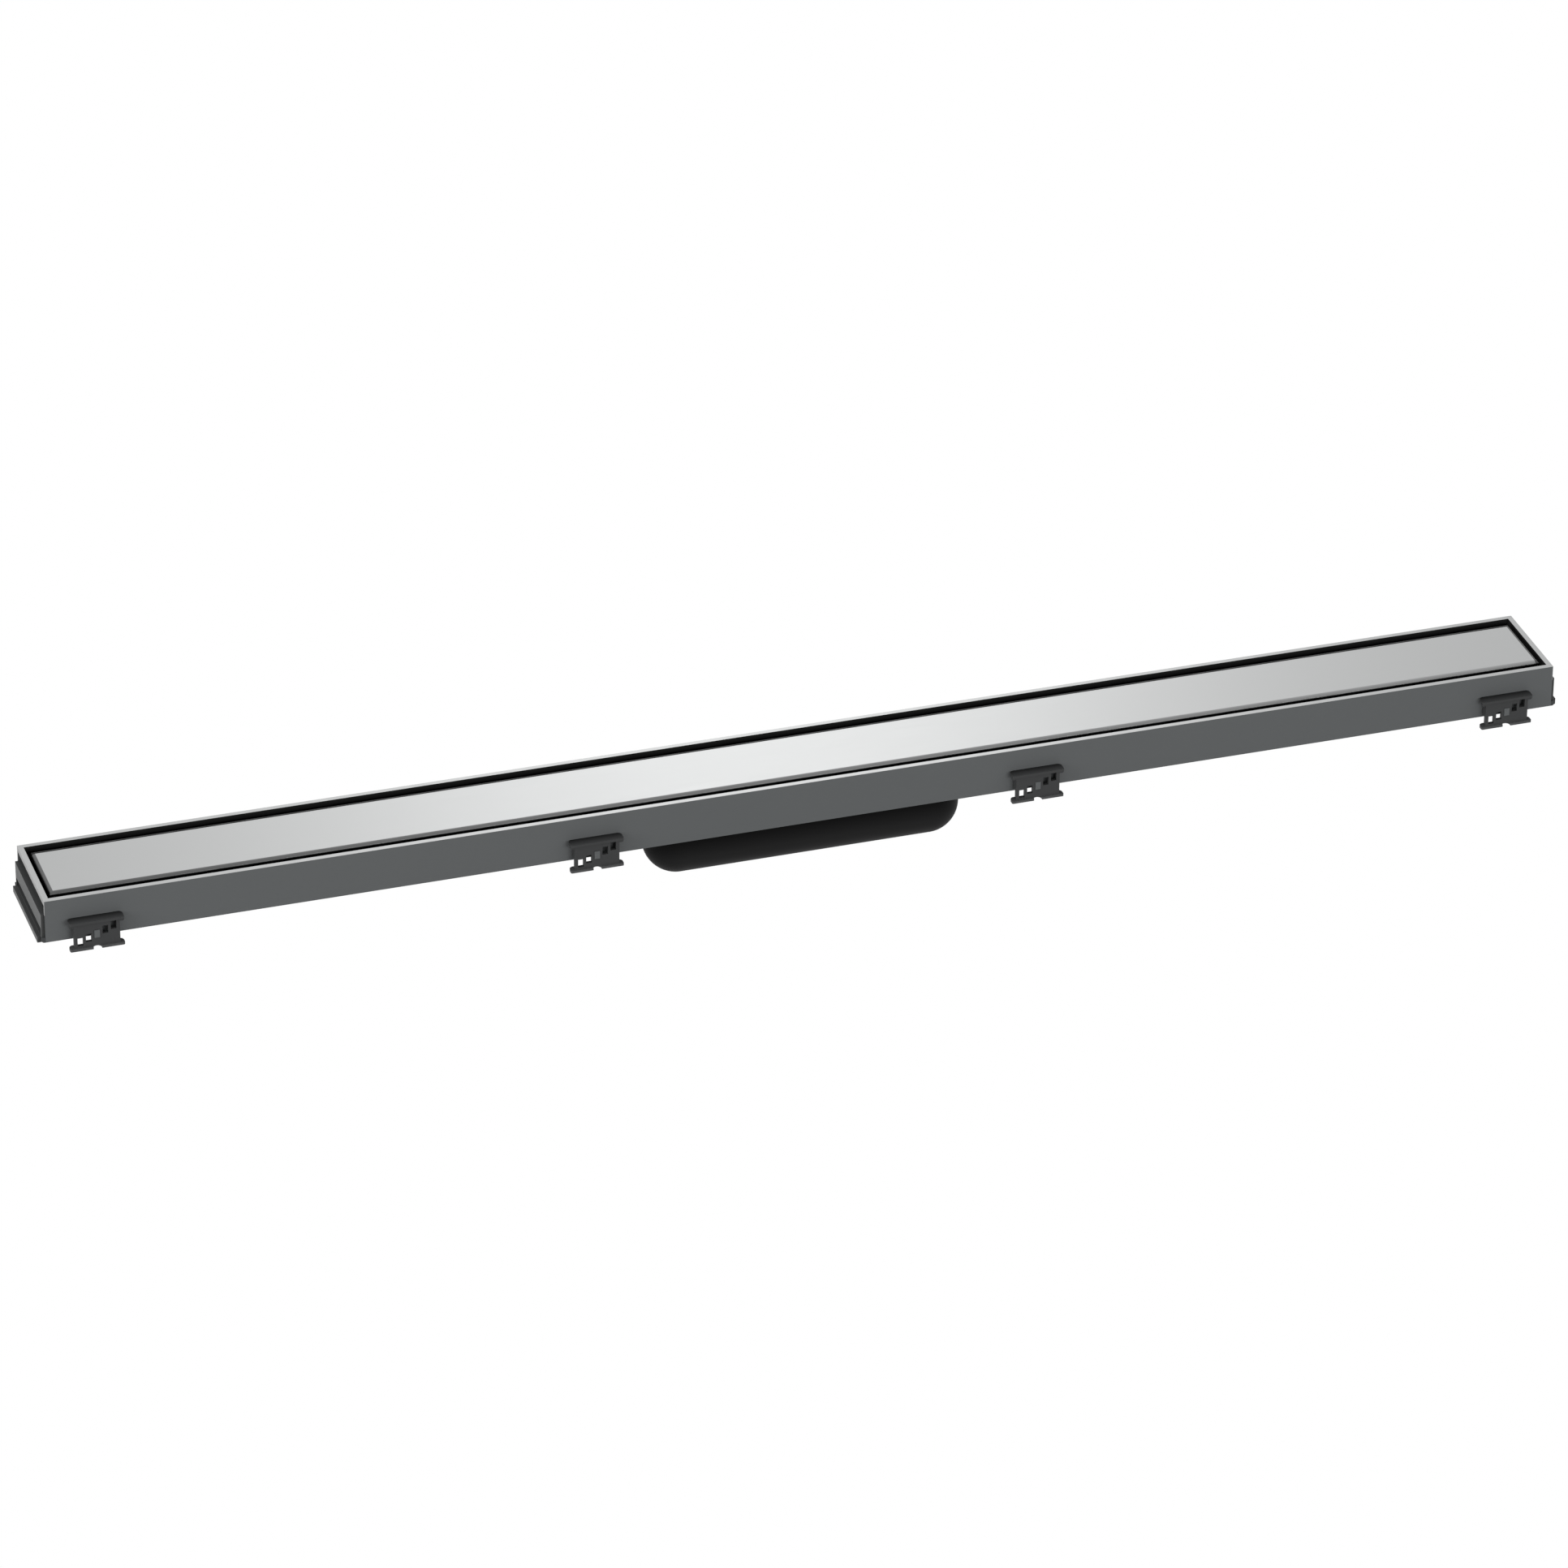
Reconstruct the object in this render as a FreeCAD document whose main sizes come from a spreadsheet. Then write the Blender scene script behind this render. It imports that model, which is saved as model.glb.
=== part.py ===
import FreeCAD, Part
import os
import re
import Sketcher

# Linear shower drain: a steel tile frame with a solid cover plate, a plastic channel that
# falls to the middle, and a bowl-shaped sump with its trap below it.
# X runs along the drain, Y across it, Z up. The origin is the middle of the cover's top
# face, which lies at finished floor level. Sizes are in millimetres.

doc = FreeCAD.newDocument("linear_shower_drain")
sheet = doc.addObject("Spreadsheet::Sheet", "Sizes")

sizes = [
    ("frame_length", 1200, "outer length of the tile frame"),
    ("frame_width", 86, "outer width of the tile frame"),
    ("frame_depth", 35, "height of the frame's walls"),
    ("rim_side", 4.4, "width of the rim along the long sides"),
    ("rim_end", 4.2, "width of the rim across the ends"),
    ("rim_depth", 4, "height of the rim bar"),
    ("steel", 1.5, "thickness of the frame's sheet"),
    ("end_recess", 3.3, "how far an end wall stands back under the rim"),
    ("bottom_lip", 8, "width of the lip that carries the channel"),
    ("ear_reach", 2.8, "length of the ear at each bottom corner"),
    ("ear_height", 4, "height of that ear"),
    ("ear_round", 2, "rounding of the ear's lower corner"),
    ("lug_inset", 39, "distance of the outer tongues from the frame's ends"),
    ("lug_beside", 49.5, "distance of the inner tongues from the bowl's ends"),
    ("lug_shift", 1.7, "how far a side's tongues lie to the left, seen from that side"),
    ("lug_width", 4.2, "width of a tongue"),
    ("lug_gap", 0.2, "gap between a tongue and the window above and below it"),
    ("lug_nose", 0.6, "how far a tongue stands out of its window"),
    ("play", 0.3, "gap between a loose piece and the one around it"),
    ("cover_gap", 2.8, "gap between the cover's ends and the rim"),
    ("inlet_gap", 6.95, "width of the inlet between the cover's long sides and the rim"),
    ("cover_depth", 12, "height of the folded edges"),
    ("cover_sheet", 1.5, "thickness of the cover's sheet"),
    ("cover_round", 3, "outer radius of the fold"),
    ("channel_wall", 2.3, "thickness of the channel's walls"),
    ("channel_floor", 2.5, "thickness of the channel's floor"),
    ("floor_fall", 6, "fall of the channel's floor from an end to the middle"),
    ("skirt_gap", 1.5, "gap between the folded edges and the channel's end walls"),
    ("saddle_inset", 150, "distance of the outer saddles from the frame's ends"),
    ("saddle_beside", 39, "distance of the inner saddles from the bowl's ends"),
    ("saddle_length", 24, "length of a saddle along the drain"),
    ("saddle_plate", 2.5, "thickness of a saddle"),
    ("leg_inset", 7.65, "distance of a saddle's legs from the cover's sides"),
    ("saddle_gap", 0.25, "gap between a saddle and the folded edges"),
    ("pad_height", 5, "height of the pads under the saddles over the floor's ends"),
    ("pad_width", 8, "width of a pad"),
    ("bowl_half", 126, "half the length of the sump's bowl"),
    ("bowl_drop", 47, "depth of the bowl's lowest line under the frame"),
    ("bowl_wall", 2.5, "thickness of the bowl's wall"),
    ("flange_reach", 8, "width of the bowl's flange"),
    ("flange_gap", 1, "gap between the flange and the frame's lip"),
    ("flange_sheet", 3, "thickness of the bowl's flange"),
    ("gasket_sheet", 1.5, "thickness of the gasket on the flange"),
    ("gasket_gap", 1, "gap between the collar and the gasket"),
    ("collar_gap", 2.2, "gap between the collar and the bowl's wall"),
    ("collar_wall", 2, "thickness of the collar's wall"),
    ("collar_drop", 15, "depth of the collar's lower edge under the channel's floor"),
    ("ledge_width", 4, "width of the ledge inside the collar"),
    ("ledge_sheet", 2, "thickness of that ledge"),
    ("seal_sheet", 1.5, "thickness of the seal under the trap insert"),
    ("insert_gap", 0.4, "gap around the trap insert"),
    ("insert_sheet", 2, "thickness of the trap insert's plate"),
    ("dip_beside", 10, "gap between the dip tube and the weir pocket"),
    ("dip_half", 28, "half the length of the dip tube"),
    ("dip_side", 2.3, "gap between the dip tube and the ledge's opening"),
    ("dip_wall", 1.8, "thickness of the dip tube's wall"),
    ("dip_rise", 10, "height of the dip tube's lower edge over the bowl's lowest line"),
    ("grip_middle", 60, "distance of the grip from the middle"),
    ("grip_length", 36, "length of the grip"),
    ("grip_height", 11, "height of the grip over the plate"),
    ("grip_bar", 3.5, "thickness of the grip"),
    ("strainer_rim", 3, "how far the strainer's rim reaches past the dip tube"),
    ("strainer_sheet", 1.2, "thickness of the strainer"),
    ("strainer_depth", 13, "depth of the strainer's basket"),
    ("strainer_slot", 2, "width of a slot in the strainer"),
    ("strainer_step", 4.4, "distance between the slots"),
    ("weir_side", 4, "how far the weir pocket reaches past the outlet on either side"),
    ("weir_front", 3, "distance of the weir pocket from the centre line"),
    ("weir_wall", 2, "thickness of the weir pocket's wall"),
    ("weir_drop", 4, "depth of the weir, which sets the water level, under the collar"),
    ("spigot_rise", 3, "height of the outlet's lowest line over the bowl's lowest line"),
    ("spigot_radius", 20, "outer radius of the outlet"),
    ("spigot_wall", 2, "thickness of the outlet's wall"),
    ("spigot_reach", 47, "how far the outlet stands out past the frame"),
    ("spigot_taper", 2, "length of the taper at the outlet's end"),
    ("taper_depth", 1, "how much the taper takes off the outlet's radius"),
    ("stop_height", 2.5, "height of the collar that a pipe socket meets"),
    ("stop_width", 4, "width of that collar"),
    ("stop_gap", 1, "how far that collar stands out past the frame"),
    ("screw_radius", 2, "radius of a flange screw's shank"),
    ("screw_head", 3.6, "radius of a flange screw's head"),
    ("head_height", 2.2, "height of a flange screw's head"),
    ("recess_radius", 1.8, "radius over the corners of the six-sided recess in a screw's head"),
    ("recess_depth", 1.4, "depth of that recess"),
    ("screw_reach", 11, "length of a flange screw's shank"),
    ("screw_inner", 34, "distance of the inner screws from the middle"),
    ("screw_inset", 28, "distance of the outer screws from the bowl's ends"),
    ("screw_slack", 0.2, "clearance of a screw in its hole, on the radius"),
    ("boss_radius", 4, "radius of a screw boss"),
    ("boss_height", 7, "height of a screw boss over the channel's floor"),
    ("clip_width", 41.6, "width of a side clip's flange and foot"),
    ("clip_rise", 17.5, "height of a side clip's top face over the frame's lower edge"),
    ("clip_drop", 6.4, "depth of a side clip's foot under the frame"),
    ("clip_nosing", 1.5, "how far flange and foot stand out past the web"),
    ("clip_sheet", 2, "thickness of a side clip's flange and foot"),
    ("clip_shoulder", 4, "height of the wide part of the web under the flange"),
    ("clip_back", 0.1, "gap between a side clip and the wall"),
    ("clip_corner", 3.3, "rear corner radius of flange and foot"),
    ("clip_nose", 1.2, "front corner radius of flange and foot"),
    ("foot_back", 2.25, "distance of a side clip's foot from the wall"),
    ("web_width", 35, "width of a side clip's web"),
    ("web_back", 5, "distance of the web's back from the wall"),
    ("web_sheet", 2.8, "thickness of the web"),
    ("rib_sheet", 2, "thickness of the ribs behind the web"),
    ("rib_rise", 3.5, "height of the ribs' lower end over the frame's lower edge"),
    ("window_width", 4.4, "width of a window in the web"),
    ("window_height", 6.7, "height of a window in the web"),
    ("window_pitch", 6.35, "sideways distance between the windows"),
    ("window_rise", 2.65, "upward distance between the windows"),
    ("window_lift", 5.75, "height of the middle window's centre over the frame's lower edge"),
    ("notch_width", 6.5, "width of the notch in the foot"),
    ("notch_depth", 4.7, "depth of the notch in the foot"),
    ("endclip_gap", 0.35, "gap between an end clip and the long walls"),
    ("endclip_top", 12, "depth of an end clip's top face"),
    ("endclip_reach", 2.45, "how far an end clip stands out past the frame"),
    ("endclip_sheet", 2, "thickness of an end clip"),
    ("endclip_open", 6.9, "height of the opening between an end clip's web and its foot"),
    ("endclip_core", 0.1, "how far the core under the web stands back from the frame's end"),
    ("pin_radius", 2.4, "radius of an end clip's locating pins"),
    ("pin_reach", 1.3, "length of those pins"),
    ("pin_inset", 15, "distance of those pins from the frame's long sides"),
    ("pin_drop", 8, "depth of those pins under the end clip's top face"),
    ("pin_slack", 0.2, "clearance of a pin in its hole, on the radius"),
    ("endclip_corner", 0.5, "corner radius of an end clip"),
    ("endfoot_step", 2.05, "how far the foot's sides stand back from the end clip's sides"),
    ("endfoot_rise", 3.4, "height of the foot's top face over the frame's lower edge"),
    ("endfoot_height", 4.7, "height of the foot"),
    ("endfoot_reach", 5.35, "how far the foot stands out past the frame"),
]

# Sizes that follow from others
derived = [
    ("cover_length", "frame_length - 2 * rim_end - 2 * cover_gap",
     "length of the cover over its folded edges"),
    ("cover_width", "frame_width - 2 * rim_side - 2 * inlet_gap", "width of the cover over its folded edges"),
    ("lug_outer", "frame_length / 2 - lug_inset", "distance of the outer tongues from the middle"),
    ("lug_inner", "bowl_half + lug_beside", "distance of the inner tongues from the middle"),
    ("saddle_outer", "frame_length / 2 - saddle_inset", "distance of the outer saddles from the middle"),
    ("saddle_inner", "bowl_half + saddle_beside", "distance of the inner saddles from the middle"),
    ("saddle_leg", "cover_width / 2 - leg_inset", "distance of a saddle's legs from the centre line"),
    ("floor_middle", "frame_depth - steel - channel_floor", "depth of the channel's floor at the opening"),
    ("floor_end", "floor_middle - floor_fall", "depth of the channel's floor at the ends"),
    ("end_top", "cover_depth + skirt_gap", "depth of the top of the channel's end walls"),
    ("pad_depth", "floor_end - pad_height", "depth of the top of the pads under the saddles"),
    ("bowl_radius", "frame_width / 2 - bottom_lip - flange_gap - flange_reach", "outer radius of the bowl"),
    ("bowl_bottom", "frame_depth + bowl_drop", "depth of the bowl's lowest line"),
    ("collar_bottom", "floor_middle + collar_drop", "depth of the collar's lower edge"),
    ("weir_half", "spigot_radius + weir_side", "half the length of the weir pocket"),
    ("weir_top", "collar_bottom + weir_drop", "depth of the weir"),
    ("dip_radius", "bowl_radius - bowl_wall - collar_gap - collar_wall - ledge_width - dip_side",
     "outer radius of the dip tube's ends"),
    ("dip_middle", "weir_half + dip_beside + dip_half", "distance of the dip tube from the middle"),
    ("dip_bottom", "bowl_bottom - dip_rise", "depth of the dip tube's lower edge"),
    ("spigot_depth", "bowl_bottom - spigot_radius - spigot_rise", "depth of the outlet's axis"),
    ("spigot_bore", "spigot_radius - spigot_wall", "inner radius of the outlet"),
    ("spigot_end", "frame_width / 2 + spigot_reach", "distance of the outlet's end from the centre line"),
    ("screw_outer", "bowl_half - screw_inset", "distance of the outer screws from the middle"),
    ("screw_side", "bowl_radius + flange_reach / 2", "distance of the screws from the centre line"),
    ("boss_top", "floor_middle - boss_height", "depth of the top of a screw boss"),
    ("clip_top", "frame_depth - clip_rise", "depth of a side clip's top face"),
    ("clip_bottom", "frame_depth + clip_drop", "depth of a side clip's foot"),
    ("clip_reach", "web_back + web_sheet + clip_nosing", "how far a side clip stands out from the wall"),
    ("rib_bottom", "frame_depth - rib_rise", "depth of the ribs' lower end"),
    ("window_middle", "frame_depth - window_lift", "depth of the middle window's centre"),
    ("endclip_half", "frame_width / 2 - steel - endclip_gap", "half the width of an end clip"),
    ("endfoot_half", "endclip_half - endfoot_step", "half the width of an end clip's foot"),
    ("endfoot_top", "frame_depth - endfoot_rise", "depth of the foot's top face"),
    ("endclip_web", "endfoot_top - endclip_open", "depth of the lower edge of an end clip's web"),
    ("pin_side", "frame_width / 2 - pin_inset", "distance of an end clip's pins from the centre line"),
    ("pin_depth", "endclip_top + pin_drop", "depth of those pins"),
]

for row, (alias, value, note) in enumerate(sizes, start=1):
    sheet.set("A%d" % row, note)
    sheet.set("B%d" % row, str(value))
    sheet.setAlias("B%d" % row, alias)
for row, (alias, formula, note) in enumerate(derived, start=len(sizes) + 1):
    sheet.set("A%d" % row, note)
    sheet.set("B%d" % row, "=" + formula)
    sheet.setAlias("B%d" % row, alias)
doc.recompute()


def size(alias):
    """A size from the sheet as a number."""
    return float(sheet.get(alias))


def bind(thing, name, formula):
    """Bind a property to a formula written in the names of the sheet's cells."""
    thing.setExpression(name, re.sub(r"[a-z][a-z_]+", lambda word: "Sizes." + word.group(0), formula))


def block(name, xs, ys, zs):
    """A box between two limits on each axis, each limit a formula."""
    box = doc.addObject("Part::Box", name)
    for side, base, (low, high) in zip(("Length", "Width", "Height"), "xyz", (xs, ys, zs)):
        bind(box, side, "(%s) - (%s)" % (high, low))
        bind(box, "Placement.Base." + base, low)
    return box


def drum(name, radius, along, x, y, z, reach):
    """A cylinder that starts at a point and runs along X, Y or Z."""
    turned = {"X": FreeCAD.Rotation(FreeCAD.Vector(0, 1, 0), 90),
              "Y": FreeCAD.Rotation(FreeCAD.Vector(1, 0, 0), -90),
              "Z": FreeCAD.Rotation()}
    cylinder = doc.addObject("Part::Cylinder", name)
    cylinder.Placement = FreeCAD.Placement(FreeCAD.Vector(), turned[along])
    bind(cylinder, "Radius", radius)
    bind(cylinder, "Height", reach)
    for base, formula in zip("xyz", (x, y, z)):
        bind(cylinder, "Placement.Base." + base, formula)
    return cylinder


def ball(name, radius, x, z):
    """A sphere on the centre line."""
    sphere = doc.addObject("Part::Sphere", name)
    bind(sphere, "Radius", radius)
    bind(sphere, "Placement.Base.x", x)
    bind(sphere, "Placement.Base.z", z)
    return sphere


def join(name, parts):
    """One body out of several that touch or overlap."""
    joined = doc.addObject("Part::MultiFuse", name)
    joined.Shapes = parts
    joined.Refine = True
    return joined


def cut(name, base, tool):
    """The first body without the second."""
    left = doc.addObject("Part::Cut", name)
    left.Base = base
    left.Tool = tool
    left.Refine = True
    return left


def overlap(name, one, other):
    """What two bodies have in common."""
    shared = doc.addObject("Part::Common", name)
    shared.Base = one
    shared.Tool = other
    return shared


def obround(name, half, radius, zs, x="0"):
    """An upright slab with half-round ends: half its length, its end radius and its limits."""
    low, high = zs
    straight = "(%s) - (%s)" % (half, radius)
    middle = block(name + "_middle", ("%s - (%s)" % (x, straight), "%s + %s" % (x, straight)),
                   ("-(%s)" % radius, radius), zs)
    height = "(%s) - (%s)" % (high, low)
    left = drum(name + "_left", radius, "Z", "%s - (%s)" % (x, straight), "0", low, height)
    right = drum(name + "_right", radius, "Z", "%s + %s" % (x, straight), "0", low, height)
    return join(name, [middle, left, right])


def rounded(name, base, wanted):
    """Round the edges that wanted gives a radius for."""
    doc.recompute()
    edges = [(number, wanted(edge)) for number, edge in enumerate(base.Shape.Edges, start=1)]
    fillet = doc.addObject("Part::Fillet", name)
    fillet.Base = base
    fillet.Edges = [(number, radius, radius) for number, radius in edges if radius]
    return fillet


def upright(edge):
    """Whether an edge is a straight vertical line."""
    box = edge.BoundBox
    return box.ZLength > 0.1 and box.XLength < 1e-3 and box.YLength < 1e-3


pieces = {}


def piece(label, made):
    """Keep a finished body under the label that names its file."""
    made.Label = label
    pieces[label] = made
    return made


def copies(label, master, places):
    """The same body in several places, each with formulas for X and Y and a turn about Z."""
    doc.recompute()
    for ending, (x, y, turn) in places.items():
        made = doc.addObject("Part::Feature", label + "_" + ending)
        made.Shape = master.Shape.copy()
        made.Placement = FreeCAD.Placement(FreeCAD.Vector(), FreeCAD.Rotation(FreeCAD.Vector(0, 0, 1), turn))
        bind(made, "Placement.Base.x", x)
        bind(made, "Placement.Base.y", y)
        piece(label + "_" + ending, made)


# Limits that several pieces share, as formulas
half_length = "frame_length / 2"
half_width = "frame_width / 2"
end_outside = "(frame_length / 2 - end_recess)"
end_inside = "(frame_length / 2 - end_recess - steel)"
lip_top = "-frame_depth + steel"
tongue_x = {"1": "-lug_outer - lug_shift", "2": "-lug_inner - lug_shift",
            "3": "lug_inner - lug_shift", "4": "lug_outer - lug_shift"}

# Tile frame: a rim bar on upright walls, with a lip inside the bottom edge
full_length = ("-" + half_length, half_length)
full_width = ("-" + half_width, half_width)
rim = cut("rim",
          block("rim_bar", full_length, full_width, ("-rim_depth", "0")),
          block("rim_opening",
                ("-(frame_length / 2 - rim_end)", "frame_length / 2 - rim_end"),
                ("-(frame_width / 2 - rim_side)", "frame_width / 2 - rim_side"),
                ("-rim_depth - 1", "1")))

side_y = "(frame_width / 2 - steel)"
wall_zs = ("-frame_depth", "-rim_depth")
side_walls = {"front": ("-" + half_width, "-" + side_y), "rear": (side_y, half_width)}
end_walls = {"left": ("-" + end_outside, "-" + end_inside), "right": (end_inside, end_outside)}
walls = [rim]
for side, ys in side_walls.items():
    walls.append(block("wall_" + side, full_length, ys, wall_zs))
for end, xs in end_walls.items():
    plate = block("wall_" + end, xs, ("-" + side_y, side_y), wall_zs)
    holes = [drum("pin_hole_%s_%d" % (end, number), "pin_radius + pin_slack", "X",
                  "%s - 1" % xs[0], y, "-pin_depth", "steel + 2")
             for number, y in enumerate(("-pin_side", "pin_side"), start=1)]
    walls.append(cut("drilled_wall_" + end, plate, join("pin_holes_" + end, holes)))
walls.append(cut("bottom_lip",
                 block("lip_outer", ("-" + end_outside, end_outside), ("-" + half_width, half_width),
                       ("-frame_depth", lip_top)),
                 block("lip_inner",
                       ("-(%s - bottom_lip)" % end_outside, "%s - bottom_lip" % end_outside),
                       ("-(frame_width / 2 - bottom_lip)", "frame_width / 2 - bottom_lip"),
                       ("-frame_depth - 1", "-frame_depth + 3 * steel"))))

# Ears at the lower corners of the long walls
for side, ys in side_walls.items():
    for end, xs in {"left": ("-(frame_length / 2 + ear_reach)", "-" + half_length),
                    "right": (half_length, "frame_length / 2 + ear_reach")}.items():
        walls.append(block("ear_%s_%s" % (side, end), xs, ys, ("-frame_depth", "-frame_depth + ear_height")))

# Tongues that reach through the middle window of each side clip
tongue_top = "-window_middle + window_height / 2 - lug_gap"
tongue_bottom = "-window_middle - window_height / 2 + lug_gap"
tongue_reach = "(frame_width / 2 + web_back + web_sheet + lug_nose)"
for side, sign in {"front": 1, "rear": -1}.items():
    for number, place in tongue_x.items():
        middle = "%d * (%s)" % (sign, place)
        across = ("%s - lug_width / 2" % middle, "%s + lug_width / 2" % middle)
        arm = ("-" + tongue_reach, "-" + side_y) if side == "front" else (side_y, tongue_reach)
        tip = (("-" + tongue_reach, "-%s + steel" % tongue_reach) if side == "front"
               else ("%s - steel" % tongue_reach, tongue_reach))
        walls.append(block("arm_%s_%s" % (side, number), across, arm,
                           ("%s - steel" % tongue_top, tongue_top)))
        walls.append(block("tip_%s_%s" % (side, number), across, tip, (tongue_bottom, tongue_top)))

frame_body = join("frame_body", walls)
ear_x = size("frame_length") / 2 + size("ear_reach")
ear_z = -size("frame_depth")


def ear_corner(edge):
    """The lower outer edge of an ear."""
    middle = edge.CenterOfMass
    if abs(abs(middle.x) - ear_x) < 1e-3 and abs(middle.z - ear_z) < 1e-3 and edge.BoundBox.YLength > 0.1:
        return size("ear_round")
    return None


piece("frame", rounded("frame_rounded", frame_body, ear_corner))

# Cover plate: a sheet with all four edges folded down
cover_body = doc.addObject("PartDesign::Body", "cover_body")
ground = [item for item in cover_body.Origin.OriginFeatures if item.Role == "XY_Plane"][0]
outline = cover_body.newObject("Sketcher::SketchObject", "cover_outline")
outline.AttachmentSupport = (ground, [""])
outline.MapMode = "FlatFace"
corners = [FreeCAD.Vector(x * size("cover_length") / 2, y * size("cover_width") / 2, 0)
           for x, y in ((-1, -1), (1, -1), (1, 1), (-1, 1))]
for start, end in zip(corners, corners[1:] + corners[:1]):
    outline.addGeometry(Part.LineSegment(start, end), False)
for line in range(4):
    outline.addConstraint(Sketcher.Constraint("Coincident", line, 2, (line + 1) % 4, 1))
for line, kind in enumerate(("Horizontal", "Vertical", "Horizontal", "Vertical")):
    outline.addConstraint(Sketcher.Constraint(kind, line))
outline.addConstraint(Sketcher.Constraint("Symmetric", 0, 1, 1, 2, -1, 1))
long_side = outline.addConstraint(Sketcher.Constraint("DistanceX", 0, 1, 0, 2, size("cover_length")))
short_side = outline.addConstraint(Sketcher.Constraint("DistanceY", 1, 1, 1, 2, size("cover_width")))
bind(outline, "Constraints[%d]" % long_side, "cover_length")
bind(outline, "Constraints[%d]" % short_side, "cover_width")
pad = cover_body.newObject("PartDesign::Pad", "cover_block")
pad.Profile = outline
pad.Reversed = True
bind(pad, "Length", "cover_depth")
doc.recompute()
top_edges = ["Edge%d" % number for number, edge in enumerate(pad.Shape.Edges, start=1)
             if abs(edge.BoundBox.ZMin) < 1e-3 and abs(edge.BoundBox.ZMax) < 1e-3]
fold = cover_body.newObject("PartDesign::Fillet", "cover_fold")
fold.Base = (pad, top_edges)
bind(fold, "Radius", "cover_round")
doc.recompute()
open_face = ["Face%d" % number for number, face in enumerate(fold.Shape.Faces, start=1)
             if face.BoundBox.ZMax < -size("cover_depth") + 1e-3]
shell = cover_body.newObject("PartDesign::Thickness", "cover_shell")
shell.Base = (fold, open_face)
shell.Reversed = True
bind(shell, "Value", "cover_sheet")
cover_body.Tip = shell
doc.recompute()
piece("cover", cover_body)

# Saddles that carry the cover
saddle_half = "(cover_width / 2 - cover_round - saddle_gap)"
leg = "saddle_plate / 2"
saddle_parts = [block("saddle_top", ("-saddle_length / 2", "saddle_length / 2"),
                      ("-" + saddle_half, saddle_half), ("-cover_sheet - saddle_plate", "-cover_sheet"))]
for side, middle in {"front": "-saddle_leg", "rear": "saddle_leg"}.items():
    saddle_parts.append(block("saddle_leg_" + side, ("-saddle_length / 2", "saddle_length / 2"),
                              ("%s - %s" % (middle, leg), "%s + %s" % (middle, leg)),
                              ("-pad_depth", "-cover_sheet")))
saddle_parts.append(block("saddle_rib", ("-" + leg, leg), ("-saddle_leg", "saddle_leg"),
                          ("-(pad_depth + cover_sheet) / 2", "-cover_sheet")))
saddle = join("saddle", saddle_parts)
copies("cover_support", saddle, {"1": ("-saddle_outer", "0", 0), "2": ("-saddle_inner", "0", 0),
                                 "3": ("saddle_inner", "0", 0), "4": ("saddle_outer", "0", 0)})

# Channel: side walls on the frame's lip, a floor that falls to the opening, and a collar
channel_side = "(frame_width / 2 - steel - play)"
channel_inside = "(frame_width / 2 - steel - play - channel_wall)"
channel_end = "(%s - play)" % end_inside
channel_stop = "(%s - play - channel_wall)" % end_inside
flat_half = "(bowl_half + flange_reach + channel_wall)"
under_floor = "-(floor_middle + channel_floor)"
channel_parts = []
for side, ys in {"front": ("-" + channel_side, "-" + channel_inside),
                 "rear": (channel_inside, channel_side)}.items():
    channel_parts.append(block("channel_wall_" + side, ("-" + channel_end, channel_end), ys,
                               (lip_top, "-rim_depth - play")))
for end, xs in {"left": ("-" + channel_end, "-" + channel_stop),
                "right": (channel_stop, channel_end)}.items():
    channel_parts.append(block("channel_end_" + end, xs, ("-" + channel_side, channel_side),
                               (lip_top, "-end_top")))

stop_x = size("frame_length") / 2 - size("end_recess") - size("steel") - size("play")
flat_x = size("bowl_half") + size("flange_reach") + size("channel_wall")
inside_y = size("frame_width") / 2 - size("steel") - size("play") - size("channel_wall") / 2
top_line = [(-stop_x, -size("floor_end")), (-flat_x, -size("floor_middle")),
            (flat_x, -size("floor_middle")), (stop_x, -size("floor_end"))]
under_line = [(x, z - size("channel_floor")) for x, z in reversed(top_line)]
profile = [FreeCAD.Vector(x, -inside_y, z) for x, z in top_line + under_line]
floor_face = Part.Face(Part.makePolygon(profile + profile[:1]))
channel_floor = doc.addObject("Part::Feature", "channel_floor_body")
channel_floor.Shape = floor_face.extrude(FreeCAD.Vector(0, 2 * inside_y, 0))
channel_parts.append(channel_floor)

slope = "((floor_middle - floor_end) / (%s - %s))" % (channel_end, flat_half)
for name, place in {"outer": "saddle_outer", "inner": "saddle_inner"}.items():
    pad_bottom = "-(floor_middle - (%s - %s) * %s + channel_floor / 2)" % (place, flat_half, slope)
    for end, middle in {"left": "-" + place, "right": place}.items():
        for side, line in {"front": "-saddle_leg", "rear": "saddle_leg"}.items():
            channel_parts.append(block("pad_%s_%s_%s" % (name, end, side),
                                       ("%s - saddle_length / 2" % middle, "%s + saddle_length / 2" % middle),
                                       ("%s - pad_width / 2" % line, "%s + pad_width / 2" % line),
                                       (pad_bottom, "-pad_depth")))

collar_half = "(bowl_half - bowl_wall - collar_gap)"
collar_radius = "(bowl_radius - bowl_wall - collar_gap)"
mouth_half = "(%s - collar_wall)" % collar_half
mouth_radius = "(%s - collar_wall)" % collar_radius
ledge_half = "(%s - ledge_width)" % mouth_half
ledge_radius = "(%s - ledge_width)" % mouth_radius
ledge_top = "-collar_bottom + ledge_sheet"
channel_parts.append(obround("collar", collar_half, collar_radius, ("-collar_bottom", under_floor)))

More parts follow.
